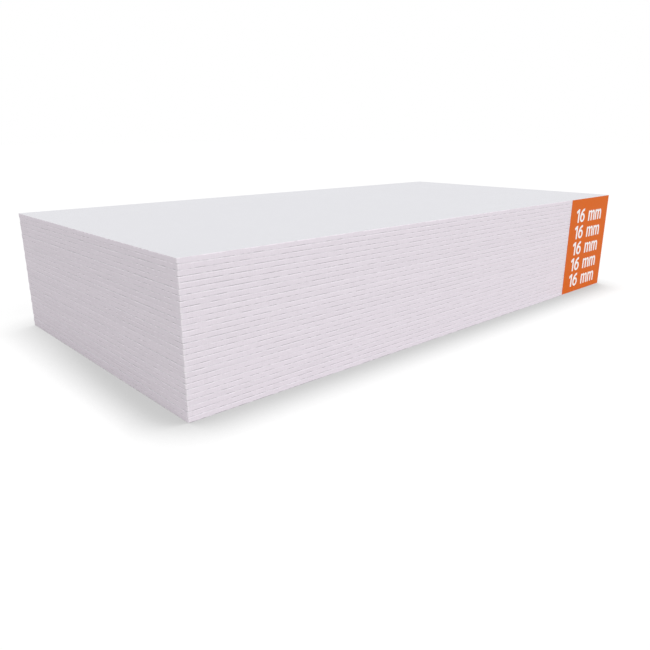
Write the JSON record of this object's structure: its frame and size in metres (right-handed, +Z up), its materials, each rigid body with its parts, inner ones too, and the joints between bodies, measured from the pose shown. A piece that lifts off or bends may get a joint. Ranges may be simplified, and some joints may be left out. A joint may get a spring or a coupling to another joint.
{
  "type": "fiber cement board stack",
  "caption": "Flat stack of pale fiber cement sheets with square sawn edges, flush on all sides, with an orange thickness label across the edges at one end of a long side.",
  "frame": {"origin": "under the middle of the stack, on the floor", "axes": "+X along the length of the boards, +Y across their width, +Z up through the stack; the label is on the -Y side at the +X end"},
  "size_m": [2.4012, 1.2008, 0.448],
  "materials": {
    "fiber_cement": "matte",
    "label_print": "satin"
  },
  "bodies": {
    "root": {"board_01": "fiber_cement", "board_02": "fiber_cement", "board_03": "fiber_cement", "board_04": "fiber_cement", "board_05": "fiber_cement", "board_06": "fiber_cement", "board_07": "fiber_cement", "board_08": "fiber_cement", "board_09": "fiber_cement", "board_10": "fiber_cement", "board_11": "fiber_cement", "board_12": "fiber_cement", "board_13": "fiber_cement", "board_14": "fiber_cement", "board_15": "fiber_cement", "board_16": "fiber_cement", "board_17": "fiber_cement", "board_18": "fiber_cement", "board_19": "fiber_cement", "board_20": "fiber_cement", "board_21": "fiber_cement", "board_22": "fiber_cement", "board_23": "fiber_cement", "board_24": "fiber_cement", "board_25": "fiber_cement", "board_26": "fiber_cement", "board_27": "fiber_cement", "board_28": "fiber_cement", "thickness_label": "label_print"}
  },
  "joints": []
}
